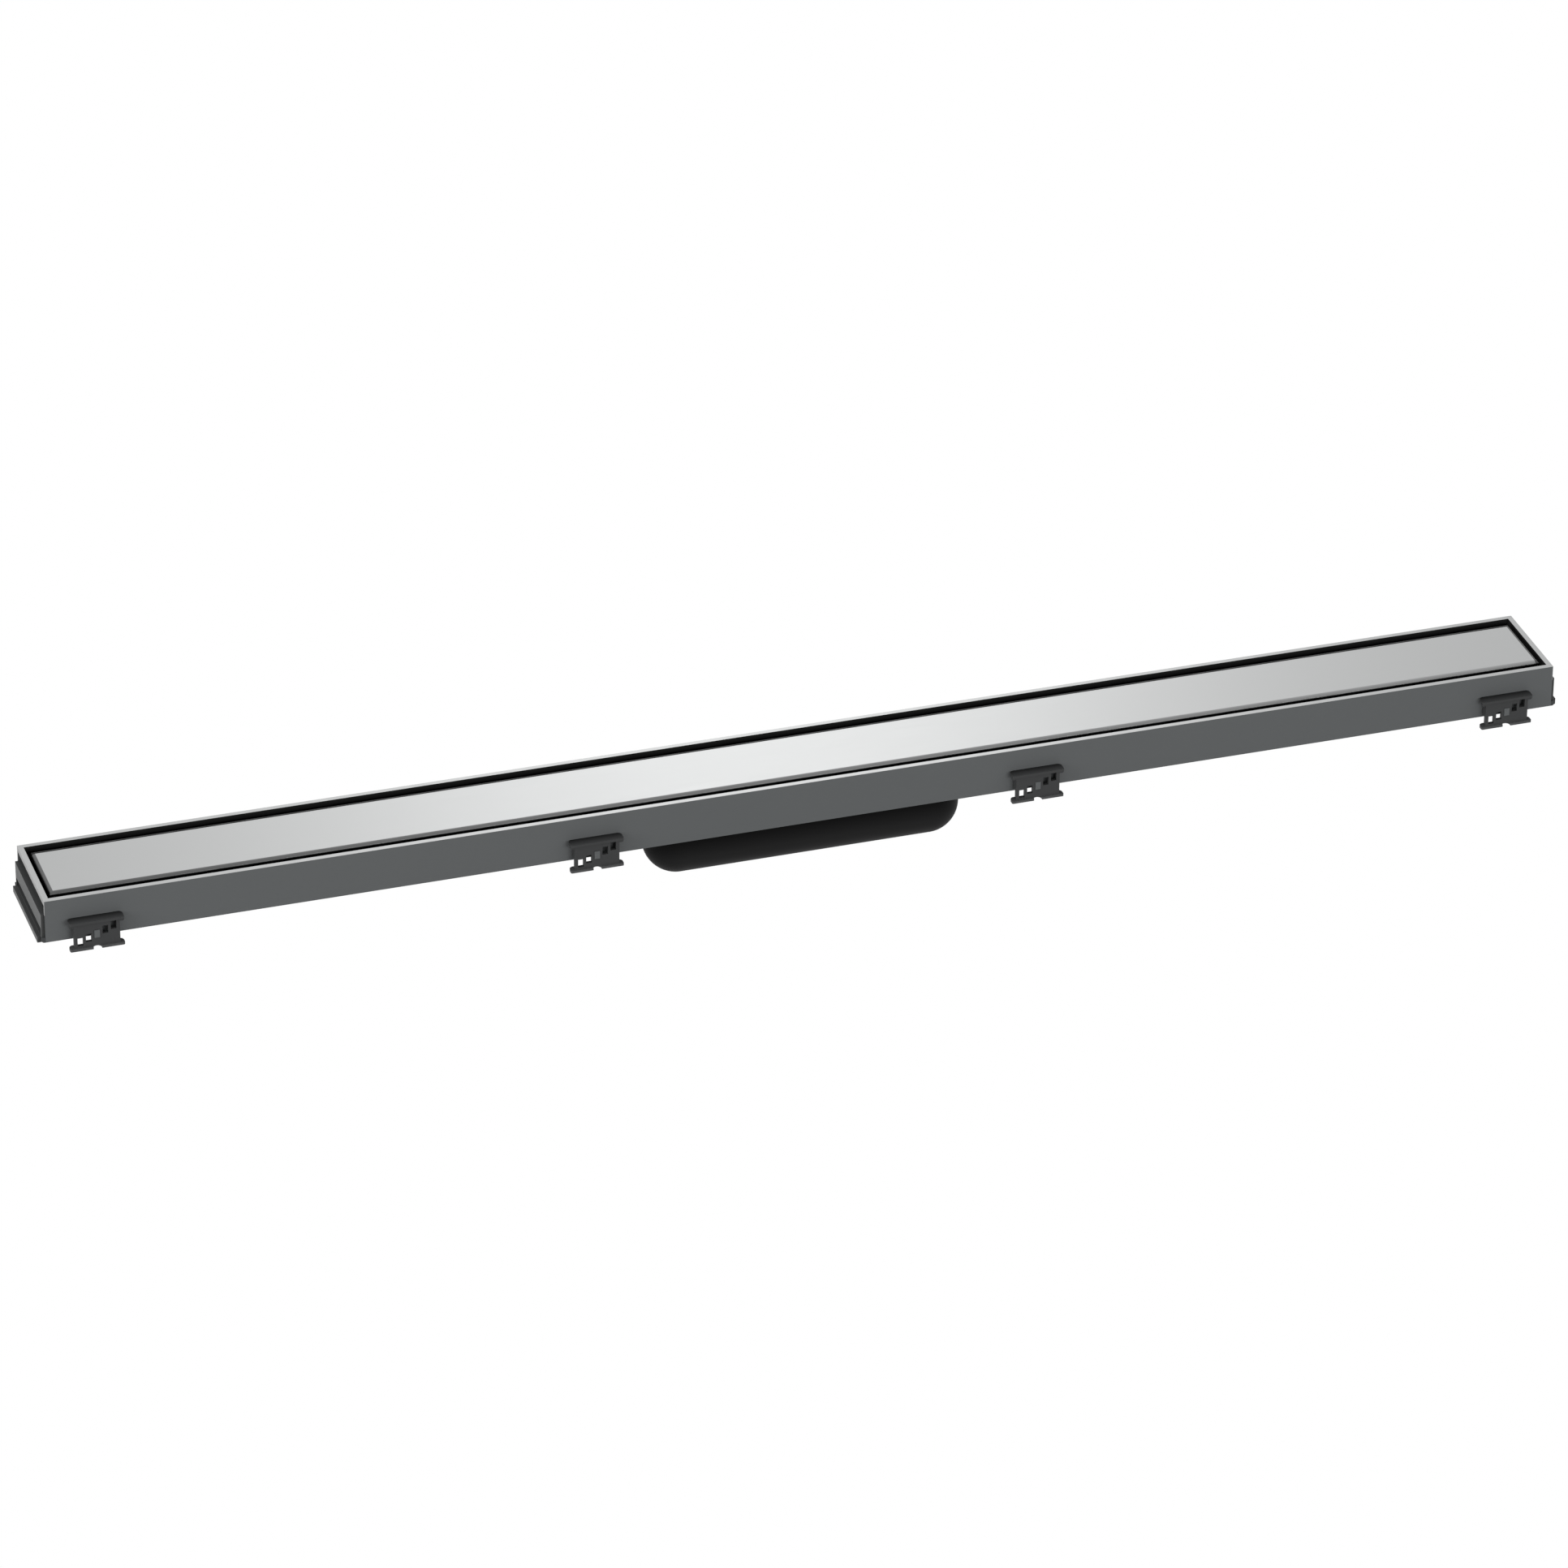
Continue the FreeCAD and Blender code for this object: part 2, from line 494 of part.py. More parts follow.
screw_spots = {}
for name, place in {"outer": "screw_outer", "inner": "screw_inner"}.items():
    for end, x in {"left": "-" + place, "right": place}.items():
        for side, y in {"front": "-screw_side", "rear": "screw_side"}.items():
            screw_spots["%s_%s_%s" % (name, end, side)] = (x, y)
for name, (x, y) in screw_spots.items():
    channel_parts.append(drum("boss_" + name, "boss_radius", "Z", x, y, under_floor,
                              "-boss_top - (%s)" % under_floor))

flange_top = "(%s - gasket_sheet)" % under_floor
flange_bottom = "(%s - gasket_sheet - flange_sheet)" % under_floor
screw_tip = "(%s + screw_reach)" % flange_bottom
channel_holes = [obround("mouth", mouth_half, mouth_radius, (ledge_top, "0")),
                 obround("ledge_opening", ledge_half, ledge_radius, ("-collar_bottom - 1", "0"))]
for name, (x, y) in screw_spots.items():
    channel_holes.append(drum("boss_hole_" + name, "screw_radius + screw_slack", "Z", x, y,
                              "%s - 1" % under_floor, "%s + 0.5 - (%s - 1)" % (screw_tip, under_floor)))
channel = cut("channel_body", join("channel_solid", channel_parts), join("channel_hollows", channel_holes))
piece("channel", channel)

# Sump: a bowl with round ends and a round bottom, a flange, a weir pocket and the outlet
axis_depth = "-(bowl_bottom - bowl_radius)"


def bowl(name, half, radius, top):
    """A bowl-shaped solid: round along its bottom and at both ends, upright above."""
    straight = "(bowl_half - bowl_radius)"
    parts = [drum(name + "_bottom", radius, "X", "-" + straight, "0", axis_depth, "2 * " + straight),
             ball(name + "_left", radius, "-" + straight, axis_depth),
             ball(name + "_right", radius, straight, axis_depth),
             obround(name + "_upper", half, radius, (axis_depth, top))]
    return join(name, parts)


inner_half = "(bowl_half - bowl_wall)"
inner_radius = "(bowl_radius - bowl_wall)"
stop_front = "(frame_width / 2 + stop_gap - stop_width)"
taper = doc.addObject("Part::Cone", "spigot_end_taper")
taper.Placement = FreeCAD.Placement(FreeCAD.Vector(), FreeCAD.Rotation(FreeCAD.Vector(1, 0, 0), -90))
bind(taper, "Radius1", "spigot_radius")
bind(taper, "Radius2", "spigot_radius - taper_depth")
bind(taper, "Height", "spigot_taper")
bind(taper, "Placement.Base.y", "spigot_end - spigot_taper")
bind(taper, "Placement.Base.z", "-spigot_depth")
sump_outside = join("sump_outside", [
    bowl("bowl_outside", "bowl_half", "bowl_radius", flange_top),
    obround("flange", "bowl_half + flange_reach", "bowl_radius + flange_reach", (flange_bottom, flange_top)),
    drum("spigot", "spigot_radius", "Y", "0", "0", "-spigot_depth", "spigot_end - spigot_taper"),
    drum("stop_collar", "spigot_radius + stop_height", "Y", "0", stop_front, "-spigot_depth", "stop_width"),
    taper])
sump_hollow = cut("sump_hollow", sump_outside, bowl("bowl_inside", inner_half, inner_radius, "0"))
weir_block = block("weir_block", ("-weir_half", "weir_half"), ("weir_front", "bowl_radius - bowl_wall / 2"),
                   ("-bowl_bottom", "-weir_top"))
weir_space = block("weir_space", ("-weir_half + weir_wall", "weir_half - weir_wall"),
                   ("weir_front + weir_wall", "bowl_radius"), ("-bowl_bottom", "0"))
weir = overlap("weir", weir_block, bowl("weir_limit", "bowl_half", "bowl_radius", "0"))
sump_filled = join("sump_filled", [sump_hollow, weir])
sump_holes = [overlap("weir_hollow", weir_space,
                      bowl("weir_inside", inner_half, inner_radius, "-weir_top + 1")),
              drum("spigot_hole", "spigot_bore", "Y", "0", "weir_front + weir_wall", "-spigot_depth",
                   "spigot_end")]
for name, (x, y) in screw_spots.items():
    sump_holes.append(drum("flange_hole_" + name, "screw_radius + screw_slack", "Z", x, y,
                           "%s - 1" % flange_bottom, "flange_sheet + 2"))
piece("sump", cut("sump_body", sump_filled, join("sump_hollows", sump_holes)))

# Gasket between the channel and the sump's flange
gasket_holes = [obround("gasket_opening", "%s + gasket_gap" % collar_half,
                        "%s + gasket_gap" % collar_radius, ("%s - 1" % flange_top, "0"))]
for name, (x, y) in screw_spots.items():
    gasket_holes.append(drum("gasket_hole_" + name, "screw_radius + screw_slack", "Z", x, y,
                             "%s - 1" % flange_top, "gasket_sheet + 2"))
piece("sump_gasket", cut("gasket_body",
                         obround("gasket_sheet_body", "bowl_half + flange_reach", "bowl_radius + flange_reach",
                                 (flange_top, under_floor)),
                         join("gasket_hollows", gasket_holes)))

# Flange screws, driven from below
screws = []
for name, (x, y) in screw_spots.items():
    shank = drum("shank_" + name, "screw_radius", "Z", x, y, flange_bottom, "screw_reach")
    head = drum("head_" + name, "screw_head", "Z", x, y, "%s - head_height" % flange_bottom, "head_height")
    recess = doc.addObject("Part::Prism", "recess_" + name)
    recess.Polygon = 6
    bind(recess, "Circumradius", "recess_radius")
    bind(recess, "Height", "recess_depth")
    bind(recess, "Placement.Base.x", x)
    bind(recess, "Placement.Base.y", y)
    bind(recess, "Placement.Base.z", "%s - head_height" % flange_bottom)
    screws.append(cut("screw_" + name, join("screw_solid_" + name, [shank, head]), recess))
screw_set = doc.addObject("Part::Compound", "flange_screws")
screw_set.Links = screws
piece("flange_screws", screw_set)

# Trap insert: a plate on the collar's ledge with a dip tube and a grip
plate_half = "(%s - insert_gap)" % mouth_half
plate_radius = "(%s - insert_gap)" % mouth_radius
plate_bottom = "(%s + seal_sheet)" % ledge_top
plate_top = "(%s + seal_sheet + insert_sheet)" % ledge_top
tube_half = "(dip_half - dip_wall)"
tube_radius = "(dip_radius - dip_wall)"
grip_low = "grip_middle - grip_length / 2"
grip_high = "grip_middle + grip_length / 2"
grip_top = plate_top + " + grip_height"
bar = ("-grip_bar / 2", "grip_bar / 2")
insert_solid = join("insert_solid", [
    obround("insert_plate", plate_half, plate_radius, (plate_bottom, plate_top)),
    obround("dip_tube", "dip_half", "dip_radius", ("-dip_bottom", plate_bottom), "-dip_middle"),
    block("grip_left", (grip_low, grip_low + " + grip_bar"), bar, (plate_top, grip_top)),
    block("grip_right", (grip_high + " - grip_bar", grip_high), bar, (plate_top, grip_top)),
    block("grip_top", (grip_low, grip_high), bar, (grip_top + " - grip_bar", grip_top))])
dip_bore = obround("dip_bore", tube_half, tube_radius, ("-dip_bottom - 1", "0"), "-dip_middle")
piece("trap_insert", cut("insert_body", insert_solid, dip_bore))

# Seal under the trap insert
seal_outside = obround("seal_outside", plate_half, plate_radius, (ledge_top, plate_bottom))
seal_opening = obround("seal_opening", ledge_half, ledge_radius, ("%s - 1" % ledge_top, "0"))
piece("insert_seal", cut("seal_body", seal_outside, seal_opening))

# Strainer basket in the mouth of the dip tube
basket_half = "(%s - insert_gap)" % tube_half
basket_radius = "(%s - insert_gap)" % tube_radius
basket_bottom = "(%s - strainer_depth)" % plate_top
basket = join("basket_solid", [
    obround("basket_rim", "dip_half + strainer_rim", "dip_radius + strainer_rim",
            (plate_top, plate_top + " + strainer_sheet"), "-dip_middle"),
    obround("basket_cup", basket_half, basket_radius, (basket_bottom, plate_top), "-dip_middle")])
slots = [obround("basket_hollow", "%s - strainer_sheet" % basket_half, "%s - strainer_sheet" % basket_radius,
                 ("%s + strainer_sheet" % basket_bottom, "0"), "-dip_middle")]
slot_count = 2 * int((size("dip_half") - size("dip_wall") - 2 * size("strainer_sheet")
                      - size("strainer_step")) / size("strainer_step")) + 1
for number in range(slot_count):
    middle = "-dip_middle + %d * strainer_step" % (number - slot_count // 2)
    slots.append(block("basket_slot_%d" % number,
                       ("%s - strainer_slot / 2" % middle, "%s + strainer_slot / 2" % middle),
                       ("-(%s * 0.6)" % basket_radius, "%s * 0.6" % basket_radius),
                       ("%s - 1" % basket_bottom, "%s + strainer_sheet + 1" % basket_bottom)))
piece("strainer", cut("basket_body", basket, join("basket_hollows", slots)))

# Side clip: flange, web with five stepped windows, ribs and foot. Its wall is the plane Y = 0
clip_half = "clip_width / 2"
clip_limits = ("-" + clip_half, clip_half)
web_ys = ("-web_back - web_sheet", "-web_back")


def clip_corner(edge):
    """The upright corners of a flange or foot, the rear ones rounder than the front ones."""
    if not upright(edge):
        return None
    if edge.CenterOfMass.y > -size("web_back"):
        return size("clip_corner")
    return size("clip_nose")


flange_plate = rounded("clip_flange", block("clip_flange_block", clip_limits, ("-clip_reach", "-clip_back"),
                                            ("-clip_top - clip_sheet", "-clip_top")), clip_corner)
foot_plate = rounded("clip_foot", block("clip_foot_block", clip_limits, ("-clip_reach", "-foot_back"),
                                        ("-clip_bottom", "-clip_bottom + clip_sheet")), clip_corner)


def shoulder_corner(edge):
    """The lower corners of the wide part of the web."""
    middle = edge.CenterOfMass
    low = -size("clip_top") - size("clip_shoulder")
    if edge.BoundBox.YLength > 0.1 and edge.BoundBox.XLength < 1e-3 and abs(middle.z - low) < 1e-3:
        return size("clip_nose")
    return None


shoulder = rounded("clip_shoulder_body", block("clip_shoulder_block", clip_limits, web_ys,
                                               ("-clip_top - clip_shoulder", "-clip_top - clip_sheet / 2")),
                   shoulder_corner)
clip_parts = [flange_plate, foot_plate, shoulder,
              block("clip_web", ("-web_width / 2", "web_width / 2"), web_ys,
                    ("-clip_bottom + clip_sheet / 2", "-clip_top - clip_sheet / 2"))]
for side, xs in {"left": ("-web_width / 2", "-web_width / 2 + rib_sheet"),
                 "right": ("web_width / 2 - rib_sheet", "web_width / 2")}.items():
    clip_parts.append(block("clip_rib_" + side, xs, ("-web_back", "-clip_back"),
                            ("-rib_bottom", "-clip_top - clip_sheet / 2")))
clip_holes = []
for number in range(5):
    step = number - 2
    clip_holes.append(block("window_%d" % (number + 1),
                            ("%d * window_pitch - window_width / 2" % step,
                             "%d * window_pitch + window_width / 2" % step),
                            ("-web_back - web_sheet - 0.1", "-web_back + 0.1"),
                            ("-window_middle - window_height / 2 + %d * window_rise" % step,
                             "-window_middle + window_height / 2 + %d * window_rise" % step)))
notch_middle = "-clip_reach + notch_depth - notch_width / 2"
clip_holes.append(drum("notch_end", "notch_width / 2", "Z", "0", notch_middle, "-clip_bottom - 1",
                       "clip_sheet + 1"))
clip_holes.append(block("notch_mouth", ("-notch_width / 2", "notch_width / 2"),
                        ("-clip_reach - 1", notch_middle), ("-clip_bottom - 1", "-clip_bottom + clip_sheet")))
clip = cut("side_clip", join("clip_solid", clip_parts), join("clip_hollows", clip_holes))
copies("side_clip_front", clip, {number: (place, "-" + half_width, 0) for number, place in tongue_x.items()})
copies("side_clip_rear", clip,
       {number: ("-(%s)" % place, half_width, 180) for number, place in tongue_x.items()})

# End clip: a cap in the recess under the rim, with a core and a foot below it
cap_back = "%s + clip_back" % end_outside
cap_front = "frame_length / 2 + endclip_reach"
cap_inside = ("-endclip_half + endclip_sheet", "endclip_half - endclip_sheet")
cap = cut("cap", block("cap_block", (cap_back, cap_front), ("-endclip_half", "endclip_half"),
                       ("-endfoot_top", "-endclip_top")),
          join("cap_hollows", [
              block("cap_hollow", ("%s - 1" % cap_back, "%s - endclip_sheet" % cap_front), cap_inside,
                    ("-endfoot_top - 1", "-endclip_top - endclip_sheet")),
              block("cap_gap", ("%s - 1" % cap_back, "%s + 1" % cap_front), cap_inside,
                    ("-endfoot_top - 1", "-endclip_web"))]))


def outer_corner(edge):
    """The upright outer corners of the cap and the foot."""
    middle = edge.CenterOfMass
    sides = [abs(abs(middle.y) - size(half)) for half in ("endclip_half", "endfoot_half")]
    if upright(edge) and middle.x > size("frame_length") / 2 and min(sides) < 1e-3:
        return size("endclip_corner")
    return None


end_foot = rounded("end_foot", block("end_foot_block", (cap_back, "frame_length / 2 + endfoot_reach"),
                                     ("-endfoot_half", "endfoot_half"),
                                     ("-endfoot_top - endfoot_height", "-endfoot_top")), outer_corner)
end_parts = [rounded("cap_rounded", cap, outer_corner), end_foot,
             block("end_core", (cap_back, "frame_length / 2 - endclip_core"),
                   ("-endclip_half", "endclip_half"), ("-endfoot_top", "-endclip_top - endclip_sheet"))]
for side, y in {"front": "-pin_side", "rear": "pin_side"}.items():
    end_parts.append(drum("pin_" + side, "pin_radius", "X", "%s - pin_reach" % cap_back, y, "-pin_depth",
                          "pin_reach + 1"))
end_clip = join("end_clip", end_parts)
copies("end_clip", end_clip, {"right": ("0", "0", 0), "left": ("0", "0", 180)})

# Check every body, then write one file for each piece
doc.recompute()
for item in doc.Objects:
    if "Invalid" in item.State or "Error" in item.State:
        raise RuntimeError("%s failed: %s" % (item.Name, item.State))
for label, made in pieces.items():
    shape = made.Shape
    if shape.isNull() or not shape.isValid():
        raise RuntimeError("%s has no valid shape" % label)
os.makedirs("parts", exist_ok=True)
for label, made in pieces.items():
    made.Shape.exportStep("parts/%s.step" % label)
    print("%-20s solids %d volume %.1f" % (label, len(made.Shape.Solids), made.Shape.Volume))
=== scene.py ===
from collections import namedtuple

import bpy
from bpy.props import FloatProperty, FloatVectorProperty, PointerProperty
from mathutils import Matrix, Vector


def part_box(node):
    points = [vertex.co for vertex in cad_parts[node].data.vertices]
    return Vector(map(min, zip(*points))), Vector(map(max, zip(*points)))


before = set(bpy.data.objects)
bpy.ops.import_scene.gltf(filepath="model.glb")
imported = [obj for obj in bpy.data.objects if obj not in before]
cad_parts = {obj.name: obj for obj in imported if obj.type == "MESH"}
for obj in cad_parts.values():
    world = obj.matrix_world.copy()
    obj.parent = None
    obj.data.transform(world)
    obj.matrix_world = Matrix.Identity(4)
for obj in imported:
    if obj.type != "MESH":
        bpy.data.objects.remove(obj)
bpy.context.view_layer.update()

bl_info = {
    "name": "Linear shower drain",
    "version": (1, 0, 0),
    "blender": (4, 5, 0),
    "location": "3D View > Sidebar > Drain",
    "description": "Finishes, floor, lamps and camera for a linear shower drain",
    "category": "Object",
}

MM = 0.001
WHITE = (1, 1, 1, 1)

# Where the paint changes, in the row's frame. Distances along X and Y count from the middle.
COVER_FLAT = 0.05 * MM                     # depth of what counts as the cover's flat
REAR_FOLD_SHADE = 27.3 * MM                      # where the cover's rear edge turns dark: from here back it is painted dark as shade
END_FOLD = 589.9 * MM                      # half the length of the cover's flat
RIM_TOP = 0.2 * MM                         # depth of what counts as the rim's top
RIM_SHADED_EDGE = (595.9 * MM, 39.0 * MM)       # inner edge of the rim's bright top, along X and Y; nearer the middle the top is painted dark as shade
FRAME_SHADED_INSIDE = (596.5 * MM, 42.0 * MM)     # the frame's inner faces lie nearer than this, along X and Y; they are painted dark as shade
FRAME_ENDS = 599.8 * MM                    # the frame's end faces lie further out
BOWL_FADE = (-44.5 * MM, 18.0 * MM)        # start and depth of the painted shade down the bowl
FLANGE_TOP = -17.7 * MM                    # a side clip shows its flange's top above this height
FLANGE_FADE = (43.9 * MM, 10.5 * MM)       # start and width of the painted shade on that top, along Y
SIDE_FOOT = -39.3 * MM                     # a side clip shows its foot below this height
END_CLIP_TOP = -12.0 * MM                  # height of the end clips' upper edge
END_CLIP_EDGE = 0.2 * MM                   # their webs have their full colour this far below it
END_WEB = (602.3 * MM, 602.6 * MM)         # the outer faces of their webs lie between
END_FOOT = (605.2 * MM, -31.8 * MM)        # the fronts of their feet lie further out, and lower

# Shares of a piece's own colour, for its painted light and shade.
CLIP_SHADOW_LOSS = 0.5                         # painted shadow taken off the frame's ends behind the end clips
BOWL_START = 0.1                           # how far the bowl's painted shade has come at its start
BOWL_SHADE_MIN = 0.1                            # left above the bowl, as painted shade
FLANGE_START = 0.25                        # left on a flange's top at the start of its painted shade
FOOT_PAINTED_LIGHT = 0.55                           # painted light added on a side clip's foot
END_CLIP_SHADE = 0.50                       # left on an end clip beside its web and its foot's front, as painted shade

# How uneven a finish is: its lowest tone, what grain and clouds add to it, what grain adds to the roughness,
# and the scale and detail of the clouds.
Uneven = namedtuple("Uneven", "tone grain cloud rough scale detail")
BRUSHED_STEEL = Uneven(tone=0.965, grain=0.05, cloud=0.02, rough=0.08, scale=9.0, detail=2.0)
DULL_STEEL = Uneven(tone=0.97, grain=0.04, cloud=0.02, rough=0.06, scale=14.0, detail=3.0)
MOULDED_PLASTIC = Uneven(tone=0.9, grain=0.12, cloud=0.08, rough=0.1, scale=25.0, detail=2.0)
GRAIN_DETAIL = 3.0

FRAME_SPECULAR = 0.1
SEAL_ROUGHNESS = 0.7
SEAL_SPECULAR = 0.2

SENSOR_WIDTH = 36.0                        # mm, for the focal length
CLIP_RANGE = (0.1, 100.0)                  # nearest and furthest distance that the camera sees

Lamp = namedtuple("Lamp", "name place target width height power")
LAMPS = (
    Lamp("key_lamp", (-3.4, -0.6, 1.5), (0, 0, 0), 2.4, 2.0, "key_power"),
    Lamp("back_lamp", (1.19, 3.9, 2.34), (0, 0, 0), 0.9, 0.8, "back_power"),
    Lamp("front_lamp", (0.9, -4.6, 1.0), (0.3, 0, 0), 2.4, 1.2, "front_power"),
)

# Sockets of a Mix node that mixes two colours.
MIX_SHARE, MIX_FIRST, MIX_SECOND, MIX_RESULT = 0, 6, 7, 2


def colour(name, description, default):
    """A colour setting."""
    return FloatVectorProperty(name=name, description=description, default=default, subtype="COLOR", size=3,
                               min=0, max=1)


def share(name, description, default):
    """A setting between 0 and 1."""
    return FloatProperty(name=name, description=description, default=default, min=0, max=1, subtype="FACTOR")


def length(name, description, default):
    """A length in metres."""
    return FloatProperty(name=name, description=description, default=default, unit="LENGTH", precision=5)


def power(name, description, default):
    """A lamp's power in watts."""
    return FloatProperty(name=name, description=description, default=default, min=0, unit="POWER")


class SteelSettings(bpy.types.PropertyGroup):
    """Finishes of the cover and the tile frame."""

    cover_colour: colour("Cover", "Brushed steel of the cover and the rim's top", (0.400, 0.405, 0.405))
    wall_colour: colour("Walls", "Dull steel of the long walls' outer sides", (0.104, 0.109, 0.111))
    end_colour: colour("Ends", "Satin steel of the rim's ends", (0.36, 0.36, 0.36))
    # Painted shade: this near-black is painted inside the rim, down the cover's folds and under the cover.
    inner_shade_colour: colour("Inner faces", "Dark steel inside the rim and below the folds",
                         (0.010, 0.010, 0.010))
    screw_colour: colour("Screws", "Steel of the screws and the strainer", (0.55, 0.55, 0.55))
    cover_roughness: share("Cover roughness", "Roughness of the brushed faces", 0.345)
    wall_roughness: share("Wall roughness", "Roughness of the dull walls", 0.6)
    wall_metal: share("Wall metal", "How metallic the dull walls are", 0.05)
    # These fold settings paint shade down the cover's folds, and painted light that grows towards the right.
    fold_shade_depth: length("Fold depth", "How far down the cover's folds their steel fades", 0.0030)
    fold_shade_share: share("Fold brightness", "Brightness of the front fold's middle, against the flat", 0.58)
    fold_shade_rise: share("Fold rise", "How much brighter that fold gets over a metre to the right", 0.45)
    right_fold_shade: share("Right fold", "Brightness of the right end's fold, against the front fold", 0.25)
    grain_length: length("Grain length", "Length of a brush stroke along the drain", 0.060)
    grain_width: length("Grain width", "Width of a brush stroke", 0.00025)
    grain_depth: length("Grain depth", "Height of the brush strokes", 0.000004)


class PlasticSettings(bpy.types.PropertyGroup):
    """Finishes of the moulded and rubber pieces."""

    sump_colour: colour("Channel and sump", "Black plastic of the channel, supports and sump",
                        (0.0138, 0.0138, 0.0140))
    clip_colour: colour("Side clips", "Dark grey plastic of the side clips", (0.0422, 0.0430, 0.0438))
    end_clip_colour: colour("End clips", "Grey plastic of the end clips", (0.0850, 0.0875, 0.0875))
    trap_colour: colour("Trap insert", "Grey plastic of the trap insert", (0.12, 0.12, 0.13))
    seal_colour: colour("Seals", "Black rubber of the seals", (0.02, 0.02, 0.02))
    roughness: share("Roughness", "Roughness of the moulded faces", 0.5)
    gloss: share("Gloss", "Specular level of the clips and the trap insert", 0.12)
    sump_gloss: share("Sump gloss", "Specular level of the channel and the sump", 0.035)
    grain_size: length("Grain size", "Size of the moulded faces' grain", 0.0006)
    grain_depth: length("Grain depth", "Height of that grain", 0.00001)


class StageSettings(bpy.types.PropertyGroup):
    """Camera, lamps and floor."""

    camera_place: FloatVectorProperty(name="Camera", description="Where the camera stands", unit="LENGTH",
                                      subtype="TRANSLATION", default=(-1.680458, -5.090829, 3.050450))
    camera_right: FloatVectorProperty(name="Camera right", description="The camera's direction to the right",
                                      subtype="DIRECTION", default=(0.95136965, -0.30799315, 0.00600045))
    camera_up: FloatVectorProperty(name="Camera up", description="The camera's upward direction",
                                   subtype="DIRECTION", default=(0.14837276, 0.4752098, 0.86727226))
    focal_length: FloatProperty(name="Focal length", description="Lens in mm on a 36 mm sensor",
                                default=186.261, min=1, unit="CAMERA")
    lens_shift: FloatProperty(name="Lens shift", description="Half a pixel of a picture 1932 pixels wide",
                              default=0.5 / 1932, precision=6)
    floor_depth: length("Floor depth", "How far the floor lies below the drain's top", 0.0825)
    floor_size: length("Floor size", "Length of a side of the floor", 30.0)
    floor_colour: colour("Floor", "Colour of the floor where it lights the drain", (0.45, 0.45, 0.45))
    ambient: FloatProperty(name="Ambient", description="Strength of the even light from all round",
                           default=0.75, min=0)
    key_power: power("Key lamp", "Power of the soft lamp at the left", 70)
    back_power: power("Back lamp", "Power of the soft lamp behind", 8.6)
    front_power: power("Front lamp", "Power of the soft lamp in front", 76)


class Wire:
    """A number or colour that flows between shader nodes. Arithmetic on it adds Math nodes."""

    def __init__(self, paint, socket):
        self.paint = paint
        self.socket = socket

    def math(self, operation, first, second=None):
        values = {0: first} if second is None else {0: first, 1: second}
        return self.paint.node("ShaderNodeMath", {"operation": operation}, values, 0)

    def __add__(self, other):
        return self.math("ADD", self, other)

    def __sub__(self, other):
        return self.math("SUBTRACT", self, other)

    def __mul__(self, other):
        return self.math("MULTIPLY", self, other)

    def __truediv__(self, other):
        return self.math("DIVIDE", self, other)

    def __gt__(self, other):
        return self.math("GREATER_THAN", self, other)

    def __lt__(self, other):
        return self.math("LESS_THAN", self, other)

    def __abs__(self):
        return self.math("ABSOLUTE", self)

    def __rsub__(self, other):
        return self.math("SUBTRACT", other, self)

    __radd__ = __add__

    def larger(self, other):
        """The larger of two numbers."""
        return self.math("MAXIMUM", self, other)

    def held(self):
        """The number, kept between 0 and 1."""
        settings = {"operation": "ADD", "use_clamp": True}
        return self.paint.node("ShaderNodeMath", settings, {0: self, 1: 0.0}, 0)

    def within(self, low, high):
        """1 where the number lies between two limits, else 0."""
        return (self > low) * (self < high)


class Paint:
    """One material or world and its nodes."""

    def __init__(self, tree):
        self.tree = tree
        tree.nodes.clear()

    def node(self, kind, settings=None, values=None, output=None):
        """Add a node, set it up, fill or link its sockets. Returns it, or one of its outputs as a Wire."""
        made = self.tree.nodes.new(kind)
        for name, value in (settings or {}).items():
            setattr(made, name, value)
        for name, value in (values or {}).items():
            if isinstance(value, Wire):
                self.tree.links.new(value.socket, made.inputs[name])
            else:
                made.inputs[name].default_value = value
        return made if output is None else Wire(self, made.outputs[output])

    def place(self):
        """The point on the surface in the row's frame, whole and as three numbers in metres."""
        point = self.node("ShaderNodeTexCoord", output="Object")
        parts = self.node("ShaderNodeSeparateXYZ", values={0: point})
        return point, [Wire(self, parts.outputs[axis]) for axis in range(3)]

    def blend(self, share_of_second, first, second):
        """A colour between two colours."""
        values = {MIX_SHARE: share_of_second, MIX_FIRST: first, MIX_SECOND: second}
        return self.node("ShaderNodeMix", {"data_type": "RGBA"}, values, MIX_RESULT)

    def scaled(self, base, factor):
        """A colour made lighter or darker by a number."""
        return self.node("ShaderNodeVectorMath", {"operation": "SCALE"}, {0: base, "Scale": factor}, 0)

    def noise(self, point, scale, detail):
        """Noise between 0 and 1."""
        values = {"Vector": point, "Scale": scale, "Detail": detail}
        return self.node("ShaderNodeTexNoise", values=values, output=0)

    def bump(self, height):
        """The normal of a surface raised by a height in metres."""
        return self.node("ShaderNodeBump", values={"Height": height, "Distance": 1.0}, output=0)

    def tone(self, point, grain, uneven):
        """How light an uneven finish is at a point, as a factor of its colour."""
        cloud = self.noise(point, uneven.scale, uneven.detail)
        return uneven.tone + grain * uneven.grain + cloud * uneven.cloud


def opaque(value):
    """A colour setting with full alpha."""
    return (*value, 1.0)


def finish(name, specular=0.5):
    """A new material with a surface shader, and the way to fill it."""
    material = bpy.data.materials.new(name)
    material.use_nodes = True
    paint = Paint(material.node_tree)
    shader = paint.node("ShaderNodeBsdfPrincipled", values={"Specular IOR Level": specular})
    paint.node("ShaderNodeOutputMaterial", values={0: Wire(paint, shader.outputs[0])})
    return material, paint, shader


def connect(paint, shader, **values):
    """Fill or link the shader's sockets by name, with _ for a space."""
    for name, value in values.items():
        socket = shader.inputs[name.replace("_", " ")]
        if isinstance(value, Wire):
            paint.tree.links.new(value.socket, socket)
        else:
            socket.default_value = value


